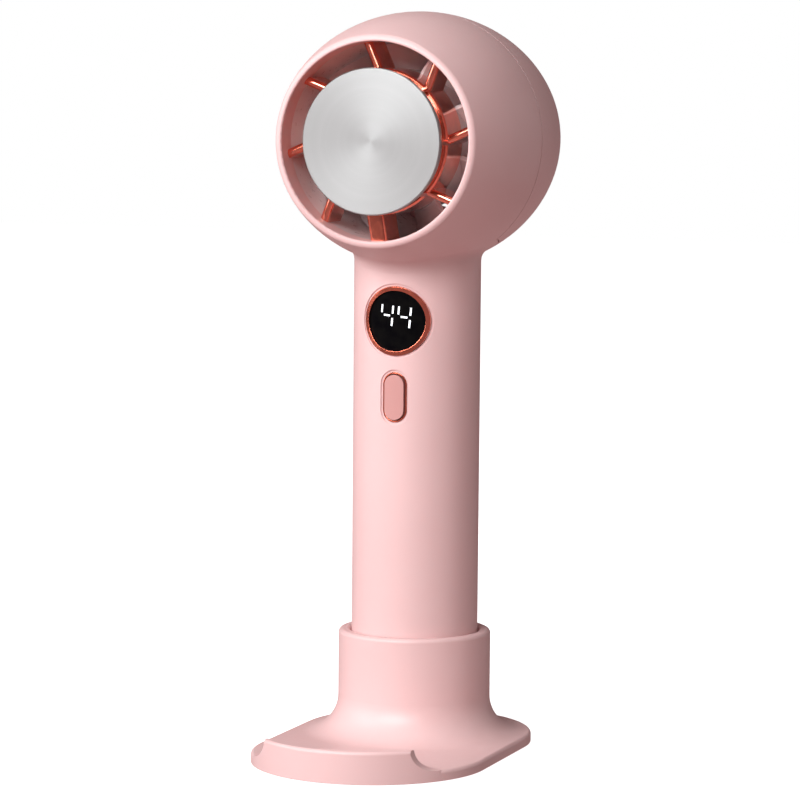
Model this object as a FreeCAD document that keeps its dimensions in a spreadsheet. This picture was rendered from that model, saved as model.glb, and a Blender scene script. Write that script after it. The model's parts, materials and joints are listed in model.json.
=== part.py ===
import FreeCAD, Part
import math
import os
import re

doc = FreeCAD.newDocument("handheld_fan")
sheet = doc.addObject("Spreadsheet::Sheet", "Sizes")

# Driving dimensions, mm. Origin: the resting face, below the centre of the stand's collar.
# +Z is up, -Y is the side the air leaves from, +X is to the right of someone facing the fan.
SIZES = {
    # stand
    "foot_half_width": 35.0,
    "foot_back_centre": 1.5,
    "foot_front_centre": -36.5,
    "foot_underside": 0.3,
    "foot_top": 3.4,
    "foot_edge_round": 1.0,
    "collar_radius": 22.9,
    "collar_top": 34.5,
    "collar_rim_round": 1.2,
    "collar_mouth_round": 1.0,
    "flare_radius": 11.0,
    "socket_radius": 19.4,
    "socket_floor": 6.0,
    "lip_thickness": 2.4,
    "lip_root": 1.2,
    "lip_top": 9.8,
    "lip_top_round": 1.0,
    "lip_half_length": 22.5,
    "cable_slot_half": 15.0,
    "cable_slot_back": -39.2,
    "cable_slot_front": -50.0,
    "foot_pad_top": 0.8,
    "foot_pad_inset": 4.0,
    "foot_pad_gap": 0.2,
    # handle
    "handle_radius": 19.0,
    "handle_wall": 2.0,
    "handle_bottom": 6.1,
    "cap_thickness": 2.5,
    "cap_spigot": 3.4,
    "parting_gap": 0.3,
    "split_plane": 2.0,
    "neck_fillet": 4.0,
    "neck_patch": 24.0,
    # head
    "head_height": 181.5,
    "head_radius": 38.0,
    "head_crown": 2.2,
    "head_arc": 110.0,
    "mouth_start": -36.5,
    "mouth_front": -37.6,
    "mouth_radius": 28.87,
    "mouth_outer_round": 1.7,
    "mouth_inner_round": 0.5,
    "head_back": 38.0,
    "back_corner": 5.0,
    "back_edge": 28.4,
    "back_fall": 4.0,
    "head_wall": 2.0,
    "duct_front": -30.0,
    "duct_bore": 28.9,
    "duct_outer": 30.7,
    "grille_radius": 27.0,
    "grille_gap": 0.1,
    "grille_rim": 1.8,
    "grille_bar": 1.2,
    "grille_pitch": 3.4,
    "grille_thickness": 2.0,
    "grille_boss": 6.2,
    "grille_first": 2.8,
    "grille_rings": 5,
    "grille_spokes": 6,
    # guide vanes and cold plate
    "plate_radius": 21.24,
    "plate_front": -39.87,
    "plate_back": -38.2,
    "plate_chamfer": 0.3,
    "hub_front_radius": 20.2,
    "hub_radius": 21.3,
    "hub_bore": 19.0,
    "hub_wall_front": -25.0,
    "hub_wall_back": -23.0,
    "hub_back": -21.2,
    "vane_front": -33.0,
    "vane_back": -22.0,
    "vane_thickness": 2.6,
    "vane_sweep": 24.0,
    "vane_count": 8,
    "wire_vane_width": 5.2,
    "wire_vane_sweep": 9.5,
    "wire_vane_offset": 1.7,
    "wire_channel": 3.0,
    "wire_channel_offset": 0.9,
    "lead_radius": 0.45,
    "lead_pitch": 0.92,
    "gusset_width": 1.5,
    "chip_side": 20.0,
    "chip_back": -34.6,
    "sink_radius": 18.6,
    "sink_base_back": -32.6,
    "fin_back": -26.0,
    "fin_thickness": 0.9,
    "fin_pitch": 3.0,
    "fins_each_side": 5,
    # motor
    "frame_radius": 12.5,
    "frame_thickness": 1.5,
    "bearing_tube_radius": 4.9,
    "bearing_tube_end": -7.2,
    "bearing_radius": 4.0,
    "bearing_race": 3.35,
    "bearing_inner": 2.15,
    "bearing_width": 3.0,
    "front_bearing": -21.0,
    "rear_bearing": -10.2,
    "ball_radius": 0.56,
    "ball_count": 7,
    "shaft_radius": 1.5,
    "shaft_front": -24.4,
    "shaft_back": -2.0,
    "clip_radius": 2.8,
    "core_front": -19.0,
    "core_back": -11.0,
    "core_hub": 6.4,
    "core_radius": 11.6,
    "tooth_width": 1.8,
    "tooth_count": 9,
    "shoe_depth": 0.9,
    "shoe_half_width": 3.24,
    "coil_build": 0.75,
    "coil_overhang": 0.8,
    "magnet_radius": 12.0,
    "yoke_inner": 13.4,
    "yoke_radius": 14.2,
    "yoke_front": -19.8,
    "yoke_back": -5.0,
    "yoke_floor": 1.0,
    # impeller
    "impeller_front": -20.6,
    "impeller_hub": 20.9,
    "impeller_skin": 1.3,
    "impeller_shoulder": -2.0,
    "impeller_nose": 9.0,
    "blade_tip": 28.4,
    "blade_back": -3.0,
    "blade_chord": 21.0,
    "blade_thickness": 1.3,
    "blade_angle": 38.0,
    "blade_twist": 10.0,
    "blade_count": 9,
    "blade_corner": 4.0,
    # display and button
    "display_height": 128.5,
    "face_margin": 20.0,
    "bezel_radius": 10.2,
    "lens_radius": 8.95,
    "lens_sunk": 0.35,
    "bezel_proud": 0.25,
    "bezel_back": -15.2,
    "groove_width": 0.75,
    "groove_depth": 0.4,
    "digit_height": 6.0,
    "digit_width": 4.1,
    "digit_stroke": 0.52,
    "digit_break": 0.64,
    "digit_inset": 1.05,
    "digit_tilt": 5.0,
    "digit_rise": 1.4,
    "digit_gap": 5.4,
    "button_height": 105.9,
    "button_width": 6.0,
    "button_length": 13.4,
    "button_proud": 0.5,
    "button_gap": 0.3,
    "button_flange": 1.6,
    "button_flange_front": -15.8,
    "button_back": -14.8,
    "button_rim": 0.4,
    "button_rim_sunk": 0.15,
    "board_front": -11.4,
    "board_back": -10.2,
    "board_half_width": 12.0,
    "board_low": 90.0,
    "board_high": 142.0,
    "boss_radius": 2.2,
    "boss_spread": 8.4,
    "boss_height": 93.6,
    "screw_radius": 0.9,
    "screw_head": 1.9,
    "screw_head_height": 1.2,
    # battery and charging
    "cell_radius": 9.1,
    "cell_length": 65.0,
    "cell_low": 52.0,
    "cell_setback": 2.8,
    "tab_half": 3.0,
    "tab_reach": 4.0,
    "tab_thickness": 0.3,
    "cradle_gap": 0.15,
    "cradle_wall": 1.4,
    "port_height": 44.0,
    "port_width": 8.94,
    "port_thickness": 3.26,
    "port_wall": 0.35,
    "port_depth": 7.35,
    "port_mouth": 18.4,
    "charge_board_thickness": 1.0,
}

for row, (word, number) in enumerate(SIZES.items(), start=1):
    sheet.set("A%d" % row, word)
    sheet.set("B%d" % row, str(number))
    sheet.setAlias("B%d" % row, word)
doc.recompute()

WORD = re.compile(r"[a-z][a-z_]+")
NODES = {}


def linked(text):
    """An expression in the sheet's words, written so that any object can use it."""
    return WORD.sub(lambda m: "Sizes." + m.group(0) if m.group(0) in SIZES else m.group(0), str(text))


def size(text):
    """The present value of such an expression."""
    return float(sheet.evalExpression(str(text)))


def bind(item, **properties):
    for key, text in properties.items():
        item.setExpression(key.replace("__", "."), linked(text))
    return item


def put(item, x="0", y="0", z="0", rotation=None):
    item.Placement = FreeCAD.Placement(FreeCAD.Vector(), rotation or FreeCAD.Rotation())
    return bind(item, Placement__Base__x=x, Placement__Base__y=y, Placement__Base__z=z)


def turn(axis, degrees):
    return FreeCAD.Rotation(FreeCAD.Vector(*axis), degrees)


TO_Y = turn((1, 0, 0), -90)


def rod_y(name, radius, start, end, x="0", z="head_height"):
    rod = doc.addObject("Part::Cylinder", name)
    bind(rod, Radius=radius, Height="(%s) - (%s)" % (end, start))
    return put(rod, x, start, z, TO_Y)


def rod_z(name, radius, start, end, x="0", y="0"):
    rod = doc.addObject("Part::Cylinder", name)
    bind(rod, Radius=radius, Height="(%s) - (%s)" % (end, start))
    return put(rod, x, y, start)


def face_rod(name, radius):
    """An upright rod past both the display and the button, for faces that follow the handle."""
    return rod_z(name, radius, "button_height - face_margin", "display_height + face_margin")


def block(name, x, y, z):
    """A box from three pairs of low and high expressions."""
    box = doc.addObject("Part::Box", name)
    spans = ["(%s) - (%s)" % (high, low) for low, high in (x, y, z)]
    bind(box, Length=spans[0], Width=spans[1], Height=spans[2])
    return put(box, x[0], y[0], z[0])


def fuse(name, parts):
    whole = doc.addObject("Part::MultiFuse", name)
    whole.Shapes = parts
    whole.Refine = True
    return whole


def cut(name, base, tools):
    whole = doc.addObject("Part::Cut", name)
    whole.Base = base
    whole.Tool = tools[0] if len(tools) == 1 else fuse(name + "_cutters", tools)
    whole.Refine = True
    return whole


def shared(name, parts):
    whole = doc.addObject("Part::MultiCommon", name)
    whole.Shapes = parts
    return whole


def group(name, parts):
    whole = doc.addObject("Part::Compound", name)
    whole.Links = parts
    return whole


def node(name, item):
    """Names a finished sub-part; its label is also its file's name."""
    item.Label = name
    NODES[name] = item
    return item


def outline(body, role, corners):
    """A closed sketch on one of the body's own planes.

    Each corner is a pair of expressions. A third one makes the edge to the next corner an arc of that
    radius: positive has its centre on the left of the way round, negative on the right.
    """
    import Sketcher
    sketch = body.newObject("Sketcher::SketchObject", body.Name + "_outline")
    plane = [feature for feature in body.Origin.OriginFeatures if feature.Role == role][0]
    sketch.AttachmentSupport = [(plane, "")]
    sketch.MapMode = "FlatFace"
    points = [FreeCAD.Vector(size(corner[0]), size(corner[1]), 0) for corner in corners]
    ends = []
    for index, corner in enumerate(corners):
        first, last = points[index], points[(index + 1) % len(points)]
        if len(corner) == 2:
            edge = sketch.addGeometry(Part.LineSegment(first, last), False)
            ends.append((edge, 1, 2))
            continue
        radius = size(corner[2])
        half = (last - first) * 0.5
        aside = FreeCAD.Vector(-half.y, half.x, 0).normalize()
        rise = math.sqrt(max(radius * radius - half.Length ** 2, 0.0))
        centre = first + half + aside * math.copysign(rise, radius)
        from_first = math.atan2(first.y - centre.y, first.x - centre.x)
        from_last = math.atan2(last.y - centre.y, last.x - centre.x)
        start, stop = (from_first, from_last) if radius > 0 else (from_last, from_first)
        if stop < start:
            stop += 2 * math.pi
        circle = Part.Circle(centre, FreeCAD.Vector(0, 0, 1), abs(radius))
        edge = sketch.addGeometry(Part.ArcOfCircle(circle, start, stop), False)
        ends.append((edge, 1, 2) if radius > 0 else (edge, 2, 1))
        number = sketch.addConstraint(Sketcher.Constraint("Radius", edge, abs(radius)))
        sketch.setExpression("Constraints[%d]" % number, linked("abs(%s)" % corner[2]))
    for index, (edge, first, last) in enumerate(ends):
        following = ends[(index + 1) % len(ends)]
        sketch.addConstraint(Sketcher.Constraint("Coincident", edge, last, following[0], following[1]))
        for kind, text, value in (("DistanceX", corners[index][0], points[index].x),
                                  ("DistanceY", corners[index][1], points[index].y)):
            number = sketch.addConstraint(Sketcher.Constraint(kind, -1, 1, edge, first, value))
            sketch.setExpression("Constraints[%d]" % number, linked(text))
    return sketch


def spun(name, corners, about="Z", y="0", z="0"):
    """A body turned about Z from (radius, height) corners, or about Y from (y, radius) corners."""
    body = doc.addObject("PartDesign::Body", name)
    sketch = outline(body, "XZ_Plane" if about == "Z" else "YZ_Plane", corners)
    feature = body.newObject("PartDesign::Revolution", name + "_turning")
    feature.Profile = (sketch, [""])
    feature.ReferenceAxis = (sketch, ["V_Axis" if about == "Z" else "H_Axis"])
    feature.Angle = 360.0
    sketch.Visibility = False
    return put(body, "0", y, z)


def headed(name, corners):
    """A body turned about the fan's axis."""
    return spun(name, corners, about="Y", z="head_height")


def ring(name, start, end, outer, inner):
    """A plain ring about the fan's axis."""
    return headed(name, [(start, inner), (end, inner), (end, outer), (start, outer)])


def padded(name, role, corners, length):
    """A body pushed out of one of its own planes."""
    body = doc.addObject("PartDesign::Body", name)
    sketch = outline(body, role, corners)
    feature = body.newObject("PartDesign::Pad", name + "_pad")
    feature.Profile = (sketch, [""])
    bind(feature, Length=length)
    return body


def stadium(name, half_width, low, high):
    """A plate with the foot's plan: two half rounds joined by straight sides."""
    w, back, front = half_width, "foot_back_centre", "foot_front_centre"
    plan = [(w, front), (w, back, w), ("0", "%s + (%s)" % (back, w), w), ("-(%s)" % w, back),
            ("-(%s)" % w, front, w), ("0", "%s - (%s)" % (front, w), w)]
    return put(padded(name, "XY_Plane", plan, "(%s) - (%s)" % (high, low)), "0", "0", low)


def pill(name, width, length, start, end, z):
    """A Y-directed bar whose section is a rounded slot standing upright."""
    r, flat = "(%s) / 2" % width, "((%s) - (%s)) / 2" % (length, width)
    section = [(r, "-" + flat), (r, flat, r), ("0", "(%s) / 2" % length, r), ("-" + r, flat),
               ("-" + r, "-" + flat, r), ("0", "-(%s) / 2" % length, r)]
    bar = padded(name, "XZ_Plane", section, "(%s) - (%s)" % (end, start))
    return put(bar, "0", end, z)


def flat_pill(name, width, height, start, end, z):
    """The same bar lying on its side."""
    r, flat = "(%s) / 2" % height, "((%s) - (%s)) / 2" % (width, height)
    section = [("-" + flat, "-" + r), (flat, "-" + r, r), ("(%s) / 2" % width, "0", r), (flat, r),
               ("-" + flat, r, r), ("-(%s) / 2" % width, "0", r)]
    bar = padded(name, "XZ_Plane", section, "(%s) - (%s)" % (end, start))
    return put(bar, "0", end, z)


def around(name, item, count, first=0.0, centre_z="head_height"):
    """Copies of one piece spaced evenly about the fan's axis."""
    copies = []
    for index in range(count):
        copy = doc.addObject("Part::Feature", "%s_%d" % (name, index + 1))
        shape = item.Shape.copy()
        shape.rotate(FreeCAD.Vector(0, 0, size(centre_z)), FreeCAD.Vector(0, 1, 0),
                     first + 360.0 * index / count)
        copy.Shape = shape
        copies.append(copy)
    return copies


# ---------------------------------------------------------------- stand
plate = stadium("foot_plate", "foot_half_width", "foot_underside", "foot_top")
collar = spun("foot_collar", [
    ("0", "foot_underside"),
    ("collar_radius + flare_radius", "foot_underside"),
    ("collar_radius + flare_radius", "foot_top", "-flare_radius"),
    ("collar_radius", "foot_top + flare_radius"),
    ("collar_radius", "collar_top - collar_rim_round", "collar_rim_round"),
    ("collar_radius - collar_rim_round", "collar_top"),
    ("socket_radius + collar_mouth_round", "collar_top", "collar_mouth_round"),
    ("socket_radius", "collar_top - collar_mouth_round"),
    ("socket_radius", "socket_floor"),
    ("0", "socket_floor"),
])
lip_ring = spun("foot_lip_ring", [
    ("foot_half_width - lip_thickness", "foot_top - lip_root"),
    ("foot_half_width", "foot_top - lip_root"),
    ("foot_half_width", "lip_top - lip_top_round", "lip_top_round"),
    ("foot_half_width - lip_top_round", "lip_top"),
    ("foot_half_width - lip_thickness + lip_top_round", "lip_top", "lip_top_round"),
    ("foot_half_width - lip_thickness", "lip_top - lip_top_round"),
], y="foot_front_centre")
lip_reach = "lip_half_length + lip_top - foot_top"
lip_face = padded("foot_lip_face", "XZ_Plane", [
    ("-(%s)" % lip_reach, "foot_top - lip_root"),
    (lip_reach, "foot_top - lip_root"),
    (lip_reach, "foot_top", "-(lip_top - foot_top)"),
    ("lip_half_length", "lip_top"),
    ("-lip_half_length", "lip_top", "-(lip_top - foot_top)"),
    ("-(%s)" % lip_reach, "foot_top"),
], "foot_half_width + 5")
put(lip_face, "0", "foot_front_centre", "0")
lip = shared("foot_lip", [lip_ring, lip_face])
doc.recompute()

rounded_plate = doc.addObject("Part::Fillet", "foot_plate_rounded")
rounded_plate.Base = plate
rounded_plate.Edges = [
    (index + 1, size("foot_edge_round"), size("foot_edge_round"))
    for index, edge in enumerate(plate.Shape.Edges)
    if all(abs(vertex.Z - size("foot_top")) < 1e-6 for vertex in edge.Vertexes)
]
slot_x = ("-cable_slot_half", "cable_slot_half")
slot_y = ("cable_slot_front", "cable_slot_back")
cable_slot = block("cable_slot", slot_x, slot_y, ("foot_underside - 1", "foot_top + 1"))
pad_recess = stadium("pad_recess", "foot_half_width - foot_pad_inset", "0", "foot_pad_top")
node("stand", cut("stand_body", fuse("stand_solid", [rounded_plate, collar, lip]),
                  [cable_slot, pad_recess]))
pad_sheet = stadium("pad_sheet", "foot_half_width - foot_pad_inset - foot_pad_gap", "0", "foot_pad_top")
pad_slot = block("pad_slot", ("-cable_slot_half - 1", "cable_slot_half + 1"),
                 ("cable_slot_front - 1", "cable_slot_back + 1"), ("-1", "foot_pad_top + 1"))
node("foot_pad", cut("foot_pad_body", pad_sheet, [pad_slot]))

# ---------------------------------------------------------------- housing
outer_arc = "sqrt(head_arc^2 - (%s - head_crown)^2) - head_arc + head_radius"
inner_arc = "sqrt((head_arc - head_wall)^2 - (%s - head_crown)^2) - head_arc + head_radius"
mouth_edge = "mouth_front + mouth_inner_round"
head_outer = headed("head_outer", [
    (mouth_edge + " + mouth_inner_round", "0"),
    ("head_back", "0"),
    ("head_back", "back_edge", "back_corner"),
    ("head_back - back_fall", outer_arc % "head_back - back_fall", "head_arc"),
    ("mouth_start", outer_arc % "mouth_start", "mouth_outer_round"),
    ("mouth_front", "mouth_radius + mouth_inner_round", "mouth_inner_round"),
    (mouth_edge, "mouth_radius"),
    (mouth_edge + " + mouth_inner_round", "mouth_radius - mouth_inner_round"),
])
handle_outer = rod_z("handle_outer", "handle_radius",
                     "handle_bottom + cap_thickness + parting_gap", "head_height - 8")
body_solid = fuse("body_solid", [head_outer, handle_outer])
doc.recompute()


def meets_both(edge):
    """True for the curve where the upright handle runs into the head."""
    middle = edge.valueAt((edge.FirstParameter + edge.LastParameter) / 2)
    on_handle = abs(math.hypot(middle.x, middle.y) - size("handle_radius")) < 0.01
    return on_handle and size("collar_top") + 50 < middle.z < size("head_height") and edge.Length > 1


back_inside = "head_back - back_fall - head_wall"
head_hollow = headed("head_hollow", [
    ("duct_front", "0"),
    ("head_back - head_wall", "0"),
    ("head_back - head_wall", "duct_outer + 0.1"),
    (back_inside, inner_arc % back_inside, "head_arc - head_wall"),
    ("duct_front", inner_arc % "duct_front"),
])
mouth_bore = rod_y("mouth_bore", "mouth_radius", "plate_front - 1", "duct_front + 1")
handle_hollow = rod_z("handle_hollow", "handle_radius - handle_wall", "handle_bottom", "head_height - 20")
back_bore = rod_y("back_bore", "grille_radius", "head_back - head_wall - 1", "head_back + 1")
display_bore = rod_y("display_bore", "bezel_radius + 0.05", "-handle_radius - 1", "-8", z="display_height")
rim_width = "button_width + 2 * (button_gap + button_rim)"
rim_length = "button_length + 2 * (button_gap + button_rim)"
button_bore = pill("button_bore", rim_width + " + 0.1", rim_length + " + 0.1", "-handle_radius - 1", "-8",
                   "button_height")
groove_start = "-handle_radius - 1"
groove_tools = [
    rod_y("display_groove_disc", "bezel_radius + groove_width", groove_start, "-8", z="display_height"),
    pill("button_groove_slot", rim_width + " + 2 * groove_width", rim_length + " + 2 * groove_width",
         groove_start, "-8", "button_height"),
]
groove_core = face_rod("groove_core", "handle_radius - groove_depth")
grooves = cut("grooves", fuse("groove_blanks", groove_tools), [groove_core])
port_bore = flat_pill("port_bore", "port_width + 0.5", "port_thickness + 0.5", "8", "handle_radius + 1",
                      "port_height")
hollows = [head_hollow, mouth_bore, handle_hollow, back_bore, display_bore, button_bore, port_bore,
           grooves]
reach = "head_radius + 10"
front_space = block("front_space", ("-(%s)" % reach, reach), ("-(%s)" % reach, "split_plane"),
                    ("0", "head_height + " + reach))
rear_space = block("rear_space", ("-(%s)" % reach, reach), ("split_plane", reach),
                   ("0", "head_height + " + reach))


def half_shell(name, space):
    """One half of the housing: its side of the solid, with the neck rounded, hollowed out."""
    half = shared(name + "_solid", [body_solid, space])
    doc.recompute()
    neck = doc.addObject("Part::Fillet", name + "_neck")
    neck.Base = half
    neck.Edges = [
        (index + 1, size("neck_fillet"), size("neck_fillet"))
        for index, edge in enumerate(half.Shape.Edges) if meets_both(edge)
    ]
    return cut(name + "_shell", shared(name + "_trimmed", [neck, space]), hollows)


wall_inside = "handle_radius - handle_wall"
bosses = [
    rod_y("boss_%s" % side, "boss_radius", "-sqrt((%s)^2 - boss_spread^2) - 0.6" % wall_inside, "board_front",
          x="%sboss_spread" % sign, z="boss_height")
    for side, sign in (("left", "-"), ("right", ""))
]
boss_holes = [
    rod_y("boss_hole_%s" % side, "screw_radius", "board_front - 2.4", "board_front + 1",
          x="%sboss_spread" % sign, z="boss_height")
    for side, sign in (("left", "-"), ("right", ""))
]
rear_shell = half_shell("rear", rear_space)
neck_column = rod_z("neck_column", "neck_patch", "0", "head_height - neck_patch")
handle_back = shared("handle_back", [rear_shell, neck_column])
front_half = fuse("front_half", [half_shell("front", front_space), handle_back] + bosses)
node("front_housing", cut("front_housing_body", front_half, boss_holes))
neck_clear = rod_z("neck_clear", "neck_patch + parting_gap", "-1", "head_height - neck_patch")
parting = block("parting", ("-(%s)" % reach, reach), ("split_plane - 1", "split_plane + parting_gap"),
                ("0", "head_height + " + reach))
node("rear_housing", cut("rear_housing_body", rear_shell, [neck_clear, parting]))
cap_top = "handle_bottom + cap_thickness"
node("bottom_cap", spun("bottom_cap_body", [
    ("0", "handle_bottom"),
    ("handle_radius - 1", "handle_bottom", "1"),
    ("handle_radius", "handle_bottom + 1"),
    ("handle_radius", cap_top),
    (wall_inside + " - 0.1", cap_top),
    (wall_inside + " - 0.1", cap_top + " + cap_spigot"),
    (wall_inside + " - 1.6", cap_top + " + cap_spigot"),
    (wall_inside + " - 1.6", cap_top),
    ("0", cap_top),
]))

# ---------------------------------------------------------------- duct and rear grille
duct_tube = headed("duct_tube", [
    ("duct_front + 0.05", "duct_bore"),
    ("head_back - head_wall - 0.1", "duct_bore"),
    ("head_back - head_wall - 0.1", "duct_outer"),
    ("duct_front + 0.05", "duct_outer"),
])
lead_y = "(vane_front + vane_back) / 2 + 1"
channel = block("wire_channel_space",
                ("-wire_channel_offset - wire_channel / 2", "-wire_channel_offset + wire_channel / 2"),
                ("%s - 0.9" % lead_y, "%s + 0.9" % lead_y),
                ("head_height - duct_outer - 3", "head_height - hub_bore + 1"))
node("air_duct", cut("air_duct_body", duct_tube, [channel]))

grille_y = ("head_back - grille_thickness", "head_back")


grille_edge = "grille_radius - grille_gap"
grille_parts = [ring("grille_edge", *grille_y, grille_edge, grille_edge + " - grille_rim")]
for number in range(int(size("grille_rings"))):
    middle = "grille_boss + grille_first + grille_pitch * %d" % number
    grille_parts.append(ring("grille_ring_%d" % (number + 1), *grille_y, middle + " + grille_bar / 2",
                             middle + " - grille_bar / 2"))
grille_parts.append(rod_y("grille_centre", "grille_boss", *grille_y))
spoke = block("grille_spoke", ("-grille_bar * 0.7", "grille_bar * 0.7"),
              (grille_y[0], "head_back - 0.5"),
              ("head_height + grille_boss - 1", "head_height + grille_radius - 1"))
doc.recompute()
grille_parts += around("grille_spokes", spoke, int(size("grille_spokes")))
node("rear_grille", fuse("rear_grille_body", grille_parts))

# ---------------------------------------------------------------- guide vanes
hub = headed("vane_hub", [
    ("plate_back", "hub_bore"),
    ("hub_wall_front", "hub_bore"),
    ("hub_wall_front", "bearing_radius + 1"),
    ("hub_wall_back", "bearing_radius + 1"),
    ("hub_wall_back", "hub_bore"),
    ("hub_back", "hub_bore"),
    ("hub_back", "hub_radius"),
    ("vane_front - 0.2", "hub_radius"),
    ("vane_front - 0.9", "hub_radius - 0.5"),
    ("vane_front - 0.9", "hub_front_radius"),
    ("plate_back", "hub_front_radius"),
])


def vane(name, width, sweep, offset):
    """One vane with a rounded front edge, standing on top of the hub and leaning with its sweep."""
    half = "(%s) / 2" % width
    nose = "min(%s; vane_thickness / 2)" % half
    section = [
        (half, "vane_front + " + nose),
        (half, "vane_back"),
        ("-" + half, "vane_back"),
        ("-" + half, "vane_front + " + nose, nose),
        ("-%s + %s" % (half, nose), "vane_front"),
        ("%s - %s + 0.01" % (half, nose), "vane_front", nose),
    ]
    body = padded(name, "XY_Plane", section, "duct_bore - hub_bore + 3")
    lean = turn((0, 1, 0), -size(sweep))
    return put(body, offset, "0", "head_height + hub_bore + 0.5", lean)


plain_vane = vane("plain_vane", "vane_thickness", "vane_sweep", "0")
wide_vane = vane("wide_vane", "wire_vane_width", "wire_vane_sweep", "wire_vane_offset")
gusset = block("vane_gusset", ("-gusset_width / 2", "gusset_width / 2"), ("plate_back", "vane_front + 1"),
               ("head_height + hub_bore + 0.5", "head_height + hub_radius"))
doc.recompute()
vane_count = int(size("vane_count"))
vanes = around("vane", plain_vane, vane_count)
lowest = vane_count // 2
vanes[lowest:lowest + 1] = [around("vane_wide", wide_vane, 2)[1]]
vane_reach = rod_y("vane_reach", "duct_bore - 0.05", "plate_front", "hub_back")
vane_star = shared("vane_star", [fuse("vane_blanks", vanes + around("gusset", gusset, vane_count)),
                                 vane_reach])
node("guide_vanes", cut("guide_vanes_body", fuse("guide_vanes_solid", [hub, vane_star]),
                        [rod_y("vane_core", "hub_bore", "plate_back - 1", "hub_wall_front"), channel]))

# ---------------------------------------------------------------- cooling
node("cold_plate", headed("cold_plate_body", [
    ("plate_front", "0"),
    ("plate_back", "0"),
    ("plate_back", "plate_radius"),
    ("plate_front + plate_chamfer", "plate_radius"),
    ("plate_front", "plate_radius - plate_chamfer"),
]))
node("cooling_chip", block("cooling_chip_body", ("-chip_side / 2", "chip_side / 2"),
                           ("plate_back", "chip_back"),
                           ("head_height - chip_side / 2", "head_height + chip_side / 2")))
sink_parts = [rod_y("sink_base", "sink_radius", "chip_back", "sink_base_back")]
fins_each_side = int(size("fins_each_side"))
for number in range(-fins_each_side, fins_each_side + 1):
    middle = "fin_pitch * %d" % number
    sink_parts.append(block("sink_fin_%d" % (number + fins_each_side + 1),
                            (middle + " - fin_thickness / 2", middle + " + fin_thickness / 2"),
                            ("sink_base_back - 0.5", "fin_back"),
                            ("head_height - sink_radius", "head_height + sink_radius")))
sink_round = rod_y("sink_round", "sink_radius", "chip_back", "fin_back")
node("heat_sink", shared("heat_sink_body", [fuse("sink_solid", sink_parts), sink_round]))

# ---------------------------------------------------------------- motor
node("motor_frame", headed("motor_frame_body", [
    ("hub_wall_back", "bearing_radius"),
    ("bearing_tube_end", "bearing_radius"),
    ("bearing_tube_end", "bearing_tube_radius"),
    ("hub_wall_back + frame_thickness", "bearing_tube_radius"),
    ("hub_wall_back + frame_thickness", "frame_radius"),
    ("hub_wall_back", "frame_radius"),
]))
core_y = ("core_front", "core_back")
core_parts = [rod_y("core_middle", "core_hub", *core_y)]
tooth = block("core_tooth", ("-tooth_width / 2", "tooth_width / 2"), core_y,
              ("head_height + core_hub - 0.5", "head_height + core_radius - 0.3"))
shoe = shared("core_shoe", [
    ring("core_shoe_ring", *core_y, "core_radius", "core_radius - shoe_depth"),
    block("core_shoe_span", ("-shoe_half_width", "shoe_half_width"), core_y,
          ("head_height", "head_height + core_radius + 1")),
])
coil_outer = block("coil_outer", ("-tooth_width / 2 - coil_build", "tooth_width / 2 + coil_build"),
                   ("core_front - coil_overhang", "core_back + coil_overhang"),
                   ("head_height + core_hub + 0.25", "head_height + core_radius - shoe_depth - 0.25"))
coil_inner = block("coil_inner", ("-tooth_width / 2 - 0.02", "tooth_width / 2 + 0.02"),
                   ("core_front - 0.02", "core_back + 0.02"),
                   ("head_height + core_hub - 1", "head_height + core_radius"))
coil = cut("coil", coil_outer, [coil_inner])
doc.recompute()
tooth_count = int(size("tooth_count"))
core_parts += around("core_teeth", tooth, tooth_count) + around("core_shoes", shoe, tooth_count)
core_bore = rod_y("core_bore", "bearing_tube_radius", "core_front - 1", "core_back + 1")
node("motor_core", cut("motor_core_body", fuse("motor_core_solid", core_parts), [core_bore]))
node("motor_windings", group("motor_windings_set", around("coils", coil, tooth_count)))


outer_rings, inner_rings, balls = [], [], []
for place, start in (("front", "front_bearing"), ("rear", "rear_bearing")):
    end = start + " + bearing_width"
    outer_rings.append(ring(place + "_outer_ring", start, end, "bearing_radius", "bearing_race"))
    inner_rings.append(ring(place + "_inner_ring", start, end, "bearing_inner", "shaft_radius"))
    ball = doc.addObject("Part::Sphere", place + "_ball")
    bind(ball, Radius="ball_radius")
    put(ball, "0", start + " + bearing_width / 2", "head_height + (bearing_race + bearing_inner) / 2")
    doc.recompute()
    balls += around(place + "_balls", ball, int(size("ball_count")))
node("bearing_outer_rings", group("outer_ring_set", outer_rings))
node("bearing_inner_rings", group("inner_ring_set", inner_rings))
node("bearing_balls", group("ball_set", balls))
node("motor_shaft", rod_y("motor_shaft_body", "shaft_radius", "shaft_front", "shaft_back"))
node("shaft_clip", ring("shaft_clip_body", "front_bearing - 0.7", "front_bearing - 0.1", "clip_radius",
                        "shaft_radius"))
node("magnet_ring", ring("magnet_ring_body", "yoke_front + 0.4", "core_back + 1", "yoke_inner",
                         "magnet_radius"))
node("rotor_yoke", headed("rotor_yoke_body", [
    ("yoke_front", "yoke_inner"),
    ("yoke_back - yoke_floor", "yoke_inner"),
    ("yoke_back - yoke_floor", "shaft_radius"),
    ("yoke_back", "shaft_radius"),
    ("yoke_back", "yoke_radius"),
    ("yoke_front", "yoke_radius"),
]))
leads = [rod_z("motor_lead_%d" % (number + 1), "lead_radius", "head_height - duct_outer - 0.8",
               "head_height - hub_bore + 0.4", x="lead_pitch * %d - wire_channel_offset" % (number - 1),
               y=lead_y)
         for number in range(3)]
node("motor_leads", group("motor_lead_set", leads))

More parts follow.
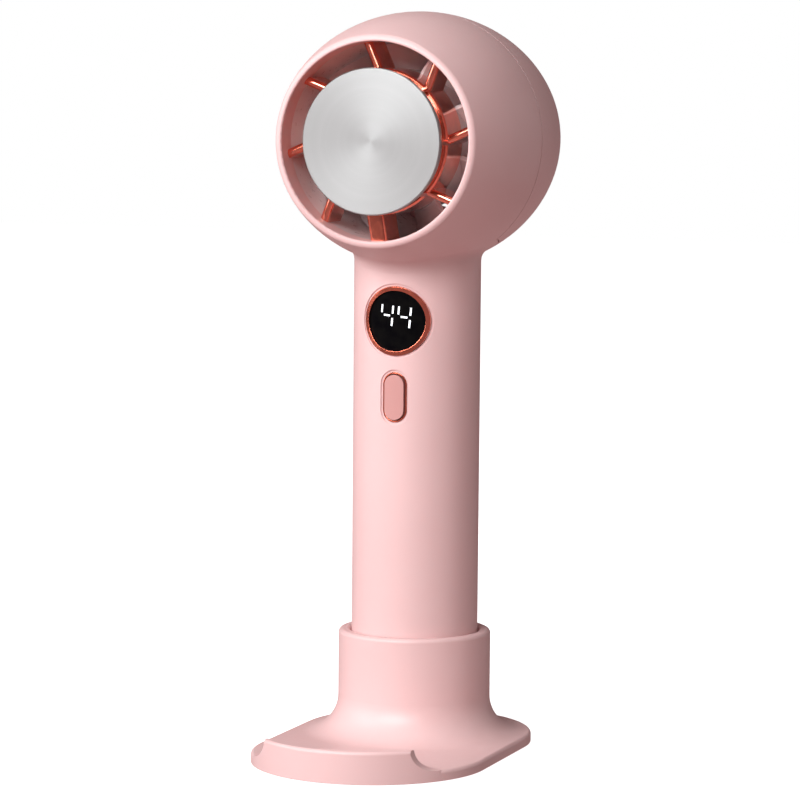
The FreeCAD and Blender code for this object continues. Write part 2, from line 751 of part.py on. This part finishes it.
# ---------------------------------------------------------------- impeller
impeller_shell = headed("impeller_shell", [
    ("impeller_front", "impeller_hub - impeller_skin"),
    ("impeller_front", "impeller_hub"),
    ("impeller_shoulder", "impeller_hub", "-impeller_hub"),
    ("impeller_nose", "shaft_radius * 6"),
    ("impeller_nose + 0.6", "shaft_radius * 4"),
    ("impeller_nose + 0.6", "0"),
    ("shaft_back", "0"),
    ("shaft_back", "shaft_radius"),
    ("yoke_back + 0.02", "shaft_radius"),
    ("yoke_back + 0.02", "yoke_radius + 0.02"),
    ("yoke_front", "yoke_radius + 0.02"),
    ("yoke_front", "yoke_radius + 1.4"),
    ("impeller_shoulder - 1", "yoke_radius + 1.4"),
    ("impeller_shoulder - 1", "impeller_hub - impeller_skin"),
])


def blade_section(radius, pitch):
    """A thin rectangle square to the blade's length, its chord turned by the pitch from the fan's axis."""
    half_chord, half_thick = size("blade_chord") / 2, size("blade_thickness") / 2
    lean = math.radians(pitch)
    along = FreeCAD.Vector(math.sin(lean), math.cos(lean), 0)
    across = FreeCAD.Vector(math.cos(lean), -math.sin(lean), 0)
    centre = FreeCAD.Vector(0, size("(impeller_front + blade_back) / 2"), size("head_height") + radius)
    corners = [centre + along * (i * half_chord) + across * (j * half_thick)
               for i, j in ((-1, -1), (1, -1), (1, 1), (-1, 1), (-1, -1))]
    return Part.makePolygon(corners)


blade = doc.addObject("Part::Feature", "blade_blank")
blade.Shape = Part.makeLoft([
    blade_section(size("impeller_hub") - 0.9, size("blade_angle")),
    blade_section(size("blade_tip") + 1, size("blade_angle") + size("blade_twist")),
], True, True)
blade_room = headed("blade_room", [
    ("impeller_front + 0.4", "impeller_hub - 0.8"),
    ("blade_back", "impeller_hub - 0.8"),
    ("blade_back", "blade_tip - blade_corner", "blade_corner"),
    ("blade_back - blade_corner", "blade_tip"),
    ("impeller_front + 0.4 + blade_corner", "blade_tip", "blade_corner"),
    ("impeller_front + 0.4", "blade_tip - blade_corner"),
])
doc.recompute()
blade_blanks = fuse("blade_blanks", around("blade", blade, int(size("blade_count"))))
blades = shared("blades", [blade_blanks, blade_room])
node("impeller", fuse("impeller_body", [impeller_shell, blades]))

# ---------------------------------------------------------------- display
proud_handle = face_rod("proud_handle", "handle_radius + bezel_proud")
lens_face = face_rod("lens_face", "handle_radius - lens_sunk")
bezel_rod = rod_y("bezel_rod", "bezel_radius", "-handle_radius - 2", "bezel_back", z="display_height")
bezel_bore = rod_y("bezel_bore", "lens_radius + 0.03", "-handle_radius - 3", "bezel_back + 1",
                   z="display_height")
node("display_bezel", cut("display_bezel_body", shared("bezel_blank", [bezel_rod, proud_handle]),
                          [bezel_bore]))
lens_rod = rod_y("lens_rod", "lens_radius", "-handle_radius - 2", "bezel_back", z="display_height")
lens_blank = shared("lens_blank", [lens_rod, lens_face])

stroke, wide, tall = "digit_stroke", "digit_width", "digit_height"
rows = {"top": tall + " / 2", "middle": "0", "bottom": "-(%s) / 2" % tall}


def bar(name, x, z):
    return block(name, x, ("-handle_radius - 1", "bezel_back - 1"), z)


digits = []
for place, centre in (("tens", "-digit_gap / 2"), ("units", "digit_gap / 2")):
    left, right = "%s - %s / 2" % (centre, wide), "%s + %s / 2" % (centre, wide)
    digits += [
        bar(place + "_upper_left", (left, left + " + " + stroke), ("digit_break", rows["top"])),
        bar(place + "_upper_right", (right + " - " + stroke, right), ("digit_break", rows["top"])),
        bar(place + "_lower_right", (right + " - " + stroke, right), (rows["bottom"], "-digit_break")),
        bar(place + "_middle", (left + " + digit_inset", right + " - digit_inset"),
            ("-%s / 2" % stroke, "%s / 2" % stroke)),
    ]
digit_bars = put(group("digit_bars", digits), z="display_height + digit_rise",
                 rotation=turn((0, 1, 0), size("digit_tilt")))
digit_face = face_rod("digit_face", "handle_radius - lens_sunk + 0.02")
digit_core = face_rod("digit_core", "handle_radius - lens_sunk - 0.5")
digit_skin = cut("digit_skin", digit_face, [digit_core])
node("display_digits", shared("display_digits_body", [digit_bars, digit_skin]))
node("display_lens", cut("display_lens_body", lens_blank, [digit_bars]))
node("display_module", block("display_module_body", ("-7.5", "7.5"), ("board_front - 3.2", "board_front"),
                             ("display_height - 7", "display_height + 7")))

# ---------------------------------------------------------------- button
button_handle = face_rod("button_handle", "handle_radius + button_proud")
button_stem = pill("button_stem", "button_width", "button_length", "-handle_radius - 2", "button_back",
                   "button_height")
button_flange = pill("button_flange_plate", "button_width + 2 * button_flange",
                     "button_length + 2 * button_flange", "button_flange_front", "button_back",
                     "button_height")
node("power_button", fuse("power_button_body", [shared("button_top", [button_stem, button_handle]),
                                                button_flange]))
rim_pill = pill("rim_pill", rim_width, rim_length, "-handle_radius - 2", "button_flange_front - 0.3",
                "button_height")
rim_bore = pill("rim_bore", "button_width + 2 * button_gap", "button_length + 2 * button_gap",
                "-handle_radius - 3", "button_back", "button_height")
rim_face = face_rod("rim_face", "handle_radius - button_rim_sunk")
node("button_bezel", cut("button_bezel_body", shared("rim_blank", [rim_pill, rim_face]), [rim_bore]))

# ---------------------------------------------------------------- main board
board_y = ("board_front", "board_back")
board_blank = block("board_blank", ("-board_half_width", "board_half_width"), board_y,
                    ("board_low", "board_high"))
board_holes = [
    rod_y("board_hole_%s" % side, "screw_radius + 0.2", "board_front - 1", "board_back + 1",
          x="%sboss_spread" % sign, z="boss_height")
    for side, sign in (("left", "-"), ("right", ""))
]
node("main_board", cut("main_board_body", board_blank, board_holes))
screws = []
for side, sign in (("left", "-"), ("right", "")):
    x = "%sboss_spread" % sign
    shank = rod_y("screw_shank_" + side, "screw_radius", "board_front - 2.2", "board_back + 0.1", x=x,
                  z="boss_height")
    head = rod_y("screw_head_" + side, "screw_head", "board_back", "board_back + screw_head_height", x=x,
                 z="boss_height")
    recess = block("screw_recess_" + side, (x + " - 1.2", x + " + 1.2"),
                   ("board_back + screw_head_height - 0.6", "board_back + screw_head_height + 1"),
                   ("boss_height - 0.25", "boss_height + 0.25"))
    screws.append(cut("screw_" + side, fuse("screw_blank_" + side, [shank, head]), [recess]))
node("board_screws", group("board_screw_set", screws))
# each chip: left, low corner from the board's own low edge, width, length, height
CHIPS = {
    "control_chip": (-3, 40, 6, 6, 1.4),
    "driver_chip": (-9, 32, 4, 5, 1.2),
    "inductor": (4, 34, 5, 5, 2.6),
    "capacitor": (5, 43, 3, 3, 1.6),
}
chips = [
    block(name, (str(left), str(left + width)), ("board_back", "board_back + %s" % height),
          ("board_low + %s" % low, "board_low + %s" % (low + length)))
    for name, (left, low, width, length, height) in CHIPS.items()
]
node("board_parts", group("board_part_set", chips))
switch_case = block("switch_case", ("-3", "3"), ("board_front - 2.2", "board_front"),
                    ("button_height - 3", "button_height + 3"))
switch_plunger = rod_y("switch_plunger", "1.7", "board_front - 2.9", "board_front - 2", z="button_height")
node("tact_switch", fuse("tact_switch_body", [switch_case, switch_plunger]))

# ---------------------------------------------------------------- battery and charging port
cell_high = "cell_low + cell_length"
node("battery_cell", put(spun("battery_cell_body", [
    ("0", "0"),
    ("cell_radius - 0.8", "0", "0.8"),
    ("cell_radius", "0.8"),
    ("cell_radius", "cell_length - 2.2"),
    ("cell_radius - 0.8", "cell_length - 1.4"),
    ("2.8", "cell_length - 1.4"),
    ("2.8", "cell_length"),
    ("0", "cell_length"),
]), "0", "cell_setback", "cell_low"))
tabs = [
    block(name, ("-tab_half", "tab_half"), ("cell_setback - tab_reach", "cell_setback + tab_reach"),
          (low, low + " + tab_thickness"))
    for name, low in (("tab_low", "cell_low - tab_thickness"), ("tab_high", cell_high))
]
node("battery_tabs", group("battery_tab_set", tabs))
cradle_outer = "cell_radius + cradle_gap + cradle_wall"
cradle_tube = put(spun("cradle_tube", [
    ("0", "0"),
    (cradle_outer, "0"),
    (cradle_outer, "cell_length + 4"),
    ("0", "cell_length + 4"),
    ("0", "cell_length + 2.4"),
    ("cell_radius + cradle_gap", "cell_length + 2.4"),
    ("cell_radius + cradle_gap", "1.6"),
    ("0", "1.6"),
]), "0", "cell_setback", "cell_low - 2")
cradle_half = block("cradle_half", ("-15", "15"), ("cell_setback + 0.5", "cell_setback + 15"),
                    ("cell_low - 5", cell_high + " + 5"))
node("battery_cradle", shared("battery_cradle_body", [cradle_tube, cradle_half]))

port_start = "port_mouth - port_depth"
port_block = flat_pill("port_block", "port_width", "port_thickness", port_start, "port_mouth", "port_height")
port_hollow = flat_pill("port_hollow", "port_width - 2 * port_wall", "port_thickness - 2 * port_wall",
                        port_start + " + 1", "port_mouth + 1", "port_height")
node("usb_c_port", cut("usb_c_port_body", port_block, [port_hollow]))
node("port_tongue", block("port_tongue_body", ("-3.3", "3.3"), (port_start + " + 1", "port_mouth - 1"),
                          ("port_height - 0.35", "port_height + 0.35")))
node("charge_board", block("charge_board_body", ("-5", "5"), ("4", port_start + " + 5"),
                           ("port_height - port_thickness / 2 - charge_board_thickness",
                            "port_height - port_thickness / 2")))

# ---------------------------------------------------------------- files
doc.recompute()
os.makedirs("parts", exist_ok=True)
for item in doc.Objects:
    if "Invalid" in item.State or "Error" in item.State:
        raise RuntimeError("%s is %s" % (item.Name, item.State))
for name, item in NODES.items():
    if item.Shape.isNull() or not item.Shape.isValid() or not item.Shape.Solids:
        raise RuntimeError("%s has no valid solid" % name)
    item.Shape.exportStep("parts/%s.step" % name)
    print("%-20s %2d solids %9.2f mm3" % (name, len(item.Shape.Solids), item.Shape.Volume))
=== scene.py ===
import json
import math

import bpy
from mathutils import Matrix, Vector


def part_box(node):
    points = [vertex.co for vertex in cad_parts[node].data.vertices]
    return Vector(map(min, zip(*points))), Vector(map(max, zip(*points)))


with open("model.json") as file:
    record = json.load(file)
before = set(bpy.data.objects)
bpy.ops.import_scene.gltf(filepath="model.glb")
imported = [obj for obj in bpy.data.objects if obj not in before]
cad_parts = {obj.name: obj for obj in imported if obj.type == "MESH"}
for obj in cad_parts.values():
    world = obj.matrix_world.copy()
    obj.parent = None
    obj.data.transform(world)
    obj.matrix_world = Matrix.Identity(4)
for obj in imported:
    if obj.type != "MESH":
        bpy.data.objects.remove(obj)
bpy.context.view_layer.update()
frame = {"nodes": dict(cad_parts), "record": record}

nodes = frame["nodes"]

MM = 0.001
MICRON = 1e-6

WHITE = (1.0, 1.0, 1.0, 1.0)
PINK_LIGHT = (1.0, 0.67, 0.66, 1.0)

# The middle of the metal disc, which lies on the fan's axis.
plate_low, plate_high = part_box("cold_plate")
PLATE_CENTRE = (plate_low + plate_high) / 2


# ------------------------------------------------------------------ material tools
class Finish:
    """One node material, with its Principled shader and small helpers to build detail into it."""

    def __init__(self, name, colour, roughness, metallic=0.0):
        self.material = bpy.data.materials.new(name)
        self.material.use_nodes = True
        self.tree = self.material.node_tree
        self.shader = self.tree.nodes["Principled BSDF"]
        self.set("Base Color", (*colour, 1.0))
        self.set("Roughness", roughness)
        self.set("Metallic", metallic)
        self.material.diffuse_color = (*colour, 1.0)
        self.place = self.node("ShaderNodeTexCoord").outputs["Object"]

    def set(self, socket, value):
        self.shader.inputs[socket].default_value = value
        return self

    def node(self, kind, **values):
        made = self.tree.nodes.new(kind)
        for key, value in values.items():
            setattr(made, key, value)
        return made

    def link(self, source, target):
        self.tree.links.new(source, target)

    def vector_math(self, operation, vector, constant=None):
        """One step of vector arithmetic, with a fixed second vector where the step takes one."""
        made = self.node("ShaderNodeVectorMath", operation=operation)
        if constant is not None:
            made.inputs[1].default_value = constant
        self.link(vector, made.inputs[0])
        return made.outputs

    def noise(self, size, detail=2.0, vector=None, stretch=None):
        """A noise value whose features are about that size, in metres."""
        vector = vector or self.place
        if stretch:
            vector = self.vector_math("MULTIPLY", vector, stretch)["Vector"]
        made = self.node("ShaderNodeTexNoise")
        made.inputs["Scale"].default_value = 1.0 / size
        made.inputs["Detail"].default_value = detail
        self.link(vector, made.inputs["Vector"])
        return made.outputs["Fac"]

    def spread(self, value, low, high, start=0.3, end=0.7):
        """Maps start..end, by default a texture's middle range, onto low..high."""
        made = self.node("ShaderNodeMapRange")
        for key, number in (("From Min", start), ("From Max", end), ("To Min", low), ("To Max", high)):
            made.inputs[key].default_value = number
        self.link(value, made.inputs["Value"])
        return made.outputs["Result"]

    def roughness(self, value, low, high):
        self.link(self.spread(value, low, high), self.shader.inputs["Roughness"])

    def tint(self, value, low, high):
        """Lets the colour drift between two shades."""
        mix = self.node("ShaderNodeMix", data_type="RGBA")
        mix.inputs["A"].default_value = (*low, 1.0)
        mix.inputs["B"].default_value = (*high, 1.0)
        self.link(self.spread(value, 0.0, 1.0), mix.inputs["Factor"])
        self.link(mix.outputs["Result"], self.shader.inputs["Base Color"])

    def relief(self, *layers, edge=0.0):
        """Stacks bump layers of (value, depth in metres); edge rounds sharp corners by that radius."""
        normal = None
        if edge:
            bevel = self.node("ShaderNodeBevel", samples=6)
            bevel.inputs["Radius"].default_value = edge
            normal = bevel.outputs["Normal"]
        for value, depth in layers:
            bump = self.node("ShaderNodeBump")
            bump.inputs["Strength"].default_value = 1.0
            bump.inputs["Distance"].default_value = depth
            self.link(value, bump.inputs["Height"])
            if normal:
                self.link(normal, bump.inputs["Normal"])
            normal = bump.outputs["Normal"]
        self.link(normal, self.shader.inputs["Normal"])


def shade(colour, factor):
    """The colour made darker or lighter by a factor."""
    return tuple(min(1.0, channel * factor) for channel in colour)


# ------------------------------------------------------------------ kinds of finish
def moulded(name, colour, roughness, texture=2.5 * MICRON, coat=0.0, edge=0.25 * MM):
    """Injection-moulded plastic: a spark-eroded skin, slow colour drift and softened edges."""
    finish = Finish(name, colour, roughness)
    drift = finish.noise(45 * MM, detail=3.0)
    patches = finish.noise(2.1 * MM, detail=3.0)
    skin = (finish.noise(0.22 * MM), texture)
    waves = (finish.noise(6 * MM, detail=1.0), 4 * MICRON)
    finish.tint(drift, shade(colour, 0.972), shade(colour, 1.02))
    finish.roughness(patches, roughness - 0.035, roughness + 0.045)
    finish.relief(skin, waves, edge=edge)
    finish.set("Subsurface Weight", 0.06).set("Subsurface Scale", 1.5 * MM)
    finish.set("Subsurface Radius", (1.0, 0.45, 0.4))
    finish.set("Specular IOR Level", 0.5)
    if coat:
        finish.set("Coat Weight", coat).set("Coat Roughness", 0.12)
    return finish.material


def plated(name, colour, roughness):
    """Bright plating over plastic, with the slight waviness of the moulding below it."""
    finish = Finish(name, colour, roughness, metallic=1.0)
    drift = finish.noise(4 * MM)
    patches = finish.noise(1.2 * MM, detail=3.0)
    waves = (finish.noise(1.8 * MM, detail=1.0), 9 * MICRON)
    grain = (finish.noise(0.15 * MM), 0.4 * MICRON)
    finish.tint(drift, shade(colour, 0.86), shade(colour, 1.08))
    finish.roughness(patches, roughness * 0.7, roughness * 1.5)
    finish.relief(waves, grain, edge=0.3 * MM)
    finish.set("Coat Weight", 1.0).set("Coat Roughness", 0.05).set("Coat IOR", 1.8)
    return finish.material


def spun_metal(name, colour, roughness, centre):
    """A lathe-finished disc: fine rings about its centre that stretch each highlight into rays."""
    finish = Finish(name, colour, roughness, metallic=1.0)
    across_the_face = (1.0, 0.0, 1.0)
    offset = finish.vector_math("SUBTRACT", finish.place, centre)["Vector"]
    flat = finish.vector_math("MULTIPLY", offset, across_the_face)["Vector"]
    radius = finish.vector_math("LENGTH", flat)["Value"]
    outward = finish.node("ShaderNodeCombineXYZ")
    finish.link(radius, outward.inputs["X"])
    rings = finish.noise(0.22 * MM, detail=4.0, vector=outward.outputs["Vector"])
    bands = finish.noise(2.8 * MM, vector=outward.outputs["Vector"])
    finish.tint(bands, shade(colour, 0.97), shade(colour, 1.02))
    finish.roughness(rings, roughness - 0.05, roughness + 0.07)
    finish.relief((rings, 1.2 * MICRON), edge=0.15 * MM)
    tangent = finish.node("ShaderNodeTangent", direction_type="RADIAL", axis="Y")
    finish.link(tangent.outputs["Tangent"], finish.shader.inputs["Tangent"])
    finish.set("Anisotropic", 0.27).set("Anisotropic Rotation", 0.25)
    return finish.material


def metal(name, colour, roughness, grain=(1.0, 1.0, 1.0)):
    """Plain machined, drawn or stamped metal with its grain along one direction."""
    finish = Finish(name, colour, roughness, metallic=1.0)
    drift = finish.noise(3 * MM)
    lines = finish.noise(0.4 * MM, detail=3.0, stretch=grain)
    finish.tint(drift, shade(colour, 0.88), shade(colour, 1.05))
    finish.roughness(lines, roughness * 0.75, roughness * 1.35)
    finish.relief((lines, 1.5 * MICRON), edge=0.12 * MM)
    return finish.material


def lens_black(name):
    """The tinted window over the digits: near black, polished, with faint wipe marks."""
    finish = Finish(name, (0.004, 0.004, 0.005), 0.06)
    drift = finish.noise(3 * MM)
    wipes = finish.noise(0.9 * MM, detail=4.0, stretch=(1.0, 1.0, 0.25))
    waves = (finish.noise(5 * MM, detail=1.0), 2 * MICRON)
    finish.tint(drift, (0.002, 0.002, 0.003), (0.005, 0.005, 0.005))
    finish.roughness(wipes, 0.04, 0.11)
    finish.relief(waves, edge=0.1 * MM)
    finish.set("Specular IOR Level", 0.05)
    return finish.material


def lit_segment(name, dimmest=0.8, brightest=1.1):
    """A lit segment of the display, slightly uneven in brightness."""
    finish = Finish(name, (0.85, 0.88, 0.9), 0.35)
    glow = finish.noise(0.9 * MM, detail=1.0)
    finish.tint(glow, (0.78, 0.82, 0.86), (0.9, 0.93, 0.95))
    finish.set("Emission Color", (0.86, 0.93, 1.0, 1.0))
    finish.link(finish.spread(glow, dimmest, brightest), finish.shader.inputs["Emission Strength"])
    return finish.material


def circuit_board(name, pitch=2.2 * MM):
    """Solder mask over copper tracks."""
    finish = Finish(name, (0.012, 0.09, 0.035), 0.32)
    cells = finish.node("ShaderNodeTexVoronoi", feature="DISTANCE_TO_EDGE", distance="MANHATTAN")
    cells.inputs["Scale"].default_value = 1.0 / pitch
    finish.link(finish.place, cells.inputs["Vector"])
    tracks = finish.spread(cells.outputs["Distance"], 1.0, 0.0, start=0.05, end=0.11)
    finish.tint(tracks, (0.010, 0.075, 0.03), (0.03, 0.17, 0.07))
    finish.relief((tracks, 12 * MICRON), edge=0.1 * MM)
    finish.set("Coat Weight", 0.5).set("Coat Roughness", 0.15)
    return finish.material


def windings(name, pitch=4.5 * MM):
    """Enamelled wire laid turn on turn."""
    finish = Finish(name, (0.55, 0.2, 0.07), 0.3, metallic=1.0)
    turns = finish.node("ShaderNodeTexWave", wave_type="BANDS", bands_direction="DIAGONAL")
    turns.inputs["Scale"].default_value = 1.0 / pitch
    turns.inputs["Distortion"].default_value = 0.6
    finish.link(finish.place, turns.inputs["Vector"])
    finish.tint(turns.outputs["Fac"], (0.3, 0.09, 0.03), (0.68, 0.27, 0.1))
    finish.relief((turns.outputs["Fac"], 60 * MICRON))
    return finish.material


def rubber(name, colour):
    """Soft sheet or sleeve with a fine stipple."""
    finish = Finish(name, colour, 0.75)
    drift = finish.noise(8 * MM)
    stipple = finish.noise(0.5 * MM, detail=3.0)
    finish.tint(drift, shade(colour, 0.85), shade(colour, 1.1))
    finish.roughness(stipple, 0.65, 0.85)
    finish.relief((stipple, 25 * MICRON), edge=0.2 * MM)
    finish.set("Specular IOR Level", 0.3)
    return finish.material


# ------------------------------------------------------------------ the fan's finishes
PINK = (0.83, 0.57, 0.565)
# The duct's and the impeller's pinks are painted paler than the shell's: painted light that brightens
# the shade inside the duct.
DUCT_PINK_WITH_PAINTED_LIGHT = (0.86, 0.76, 0.76)
BLADE_PINK_WITH_PAINTED_LIGHT = (0.90, 0.78, 0.78)
BUTTON_PINK = (0.64, 0.33, 0.31)
COPPER = (0.93, 0.235, 0.14)
DISC_GREY = (0.44, 0.457, 0.459)
SOFT_BLACK = (0.02, 0.02, 0.022)

# How far a metal's grain is squeezed along X, Y and Z.
EXTRUDED = (1.0, 6.0, 0.15)
LAMINATED = (1.0, 12.0, 1.0)
ROLLED = (1.0, 1.0, 0.2)

# One for each material slot of the record.
FINISHES = {
    "shell_pink": moulded("shell_pink_skin", PINK, 0.45, coat=0.05),
    "stand_pink": moulded("stand_pink_skin", PINK, 0.43, coat=0.05),
    # The duct and impeller finishes carry the paler pinks, painted light inside the duct.
    "duct_pink": moulded("duct_pink_with_painted_light", DUCT_PINK_WITH_PAINTED_LIGHT, 0.30, texture=1.0 * MICRON, coat=0.3),
    "impeller_pink": moulded("impeller_pink_with_painted_light", BLADE_PINK_WITH_PAINTED_LIGHT, 0.22, texture=0.8 * MICRON, coat=0.5),
    "button_pink": moulded("button_pink_skin", BUTTON_PINK, 0.34, texture=1.0 * MICRON, coat=0.3),
    "rose_gold": plated("rose_gold_plating", COPPER, 0.16),
    "spun_aluminium": spun_metal("spun_aluminium_face", DISC_GREY, 0.44, PLATE_CENTRE),
    "plain_aluminium": metal("extruded_aluminium", (0.6, 0.61, 0.62), 0.35, EXTRUDED),
    "ceramic_white": moulded("alumina", (0.78, 0.77, 0.73), 0.55),
    "black_gloss": lens_black("display_window"),
    "digit_light": lit_segment("lit_digit"),
    "dark_plastic": moulded("black_moulding", SOFT_BLACK, 0.45),
    "grey_plastic": moulded("grey_moulding", (0.16, 0.16, 0.165), 0.5),
    "board_green": circuit_board("green_board"),
    "core_steel": metal("core_laminations", (0.3, 0.3, 0.31), 0.4, LAMINATED),
    "bright_steel": metal("bearing_steel", (0.62, 0.62, 0.63), 0.12),
    "zinc_steel": metal("zinc_plate", (0.5, 0.5, 0.52), 0.3),
    "nickel": metal("nickel_strip", (0.55, 0.53, 0.48), 0.3, ROLLED),
    "winding_copper": windings("winding_wire"),
    "magnet_black": moulded("bonded_magnet", (0.03, 0.03, 0.033), 0.5),
    "lead_wire": rubber("wire_sleeve", SOFT_BLACK),
    "cell_wrap": moulded("cell_sleeve", (0.03, 0.12, 0.30), 0.3),
    "pad_rubber": rubber("pad_rubber_sheet", (0.12, 0.085, 0.085)),
}

for part in frame["record"]["subparts"]:
    piece = nodes[part["node"]]
    piece.data.materials.clear()
    piece.data.materials.append(FINISHES[part["material_slot"]])


# ------------------------------------------------------------------ floor
def make_floor(size=6.0, drop=0.05 * MM, glow=0.97):
    """A pale sheet just under the foot, which glows as white as the surround behind it."""
    mesh = bpy.data.meshes.new("floor")
    half = size / 2
    corners = [(-half, -half, 0), (half, -half, 0), (half, half, 0), (-half, half, 0)]
    mesh.from_pydata(corners, [], [(0, 1, 2, 3)])
    floor = bpy.data.objects.new("floor", mesh)
    bpy.context.scene.collection.objects.link(floor)
    floor.location.z = -drop
    finish = Finish("floor_paper", (0.93, 0.93, 0.93), 0.6)
    clouds = finish.noise(0.3)
    finish.tint(clouds, (0.92, 0.92, 0.92), (0.94, 0.94, 0.94))
    finish.set("Emission Color", WHITE).set("Emission Strength", glow)
    mesh.materials.append(finish.material)
    floor.visible_diffuse = False
    floor.visible_glossy = False


make_floor()


# ------------------------------------------------------------------ light
def make_world(seen=1.0, above=0.12, below=0.50, fall_low=-0.6, fall_high=0.3):
    """The surround: the camera sees it white, and it lights the fan in pale pink, mostly from below.

    Its strength goes from below to above as the sine of the elevation goes from fall_low to fall_high.
    """
    world = bpy.data.worlds.new("studio")
    bpy.context.scene.world = world
    world.use_nodes = True
    tree = world.node_tree
    tree.nodes.clear()
    path = tree.nodes.new("ShaderNodeLightPath")
    shown = tree.nodes.new("ShaderNodeBackground")
    shown.inputs["Color"].default_value = WHITE
    shown.inputs["Strength"].default_value = seen
    lighting = tree.nodes.new("ShaderNodeBackground")
    lighting.inputs["Color"].default_value = PINK_LIGHT
    direction = tree.nodes.new("ShaderNodeTexCoord")
    parts = tree.nodes.new("ShaderNodeSeparateXYZ")
    fall = tree.nodes.new("ShaderNodeMapRange")
    fall.inputs["From Min"].default_value = fall_low
    fall.inputs["From Max"].default_value = fall_high
    fall.inputs["To Min"].default_value = below
    fall.inputs["To Max"].default_value = above
    mix = tree.nodes.new("ShaderNodeMixShader")
    out = tree.nodes.new("ShaderNodeOutputWorld")
    tree.links.new(direction.outputs["Generated"], parts.inputs["Vector"])
    tree.links.new(parts.outputs["Z"], fall.inputs["Value"])
    tree.links.new(fall.outputs["Result"], lighting.inputs["Strength"])
    tree.links.new(path.outputs["Is Camera Ray"], mix.inputs["Fac"])
    tree.links.new(lighting.outputs["Background"], mix.inputs[1])
    tree.links.new(shown.outputs["Background"], mix.inputs[2])
    tree.links.new(mix.outputs["Shader"], out.inputs["Surface"])


def soft_box(name, azimuth, elevation, distance, size, power, target=(0.0, 0.0, 0.11)):
    """An area light aimed at the fan's middle. Azimuth is measured from the front towards +X."""
    light = bpy.data.lights.new(name, "AREA")
    light.shape = "RECTANGLE"
    light.size, light.size_y = size
    light.energy = power
    lamp = bpy.data.objects.new(name, light)
    bpy.context.scene.collection.objects.link(lamp)
    around, up = math.radians(azimuth), math.radians(elevation)
    aim = Vector(target)
    lamp.location = aim + distance * Vector(
        (math.sin(around) * math.cos(up), -math.cos(around) * math.cos(up), math.sin(up)))
    lamp.rotation_euler = (aim - lamp.location).to_track_quat("-Z", "Y").to_euler()


make_world()
soft_box("key", azimuth=-9, elevation=27, distance=1.5, size=(1.1, 0.6), power=24)
soft_box("left", azimuth=-62, elevation=20, distance=1.5, size=(0.8, 1.1), power=9)
soft_box("far_right", azimuth=142, elevation=2, distance=1.6, size=(1.0, 1.0), power=1.6)
soft_box("top", azimuth=10, elevation=84, distance=1.3, size=(0.7, 0.7), power=3)


# ------------------------------------------------------------------ camera
def make_camera(azimuth, distance, height, pitch, yaw, roll, sensor=36.0, lens=158.24):
    """A long lens a little over a metre away, round towards +X from the front, looking slightly down.

    Angles are in degrees, the distance from the handle's axis and the height in metres.
    """
    around, pitch, yaw, roll = (math.radians(angle) for angle in (azimuth, pitch, yaw, roll))
    camera = bpy.data.objects.new("camera", bpy.data.cameras.new("camera"))
    bpy.context.scene.collection.objects.link(camera)
    heading = yaw - around
    forward = Vector((
        math.sin(heading) * math.cos(pitch),
        math.cos(heading) * math.cos(pitch),
        -math.sin(pitch),
    ))
    level = Vector((math.cos(heading), -math.sin(heading), 0.0))
    upward = level.cross(forward)
    right = level * math.cos(roll) + upward * math.sin(roll)
    up = upward * math.cos(roll) - level * math.sin(roll)
    camera.matrix_world = Matrix((
        (right.x, up.x, -forward.x, distance * math.sin(around)),
        (right.y, up.y, -forward.y, -distance * math.cos(around)),
        (right.z, up.z, -forward.z, height),
        (0.0, 0.0, 0.0, 1.0),
    ))
    camera.data.sensor_width = sensor
    camera.data.lens = lens
    camera.data.clip_start = 0.05
    bpy.context.scene.camera = camera


make_camera(azimuth=20.32, distance=1.05069, height=0.20352, pitch=5.44, yaw=-0.27, roll=0.48)
bpy.context.scene.view_settings.view_transform = "Standard"
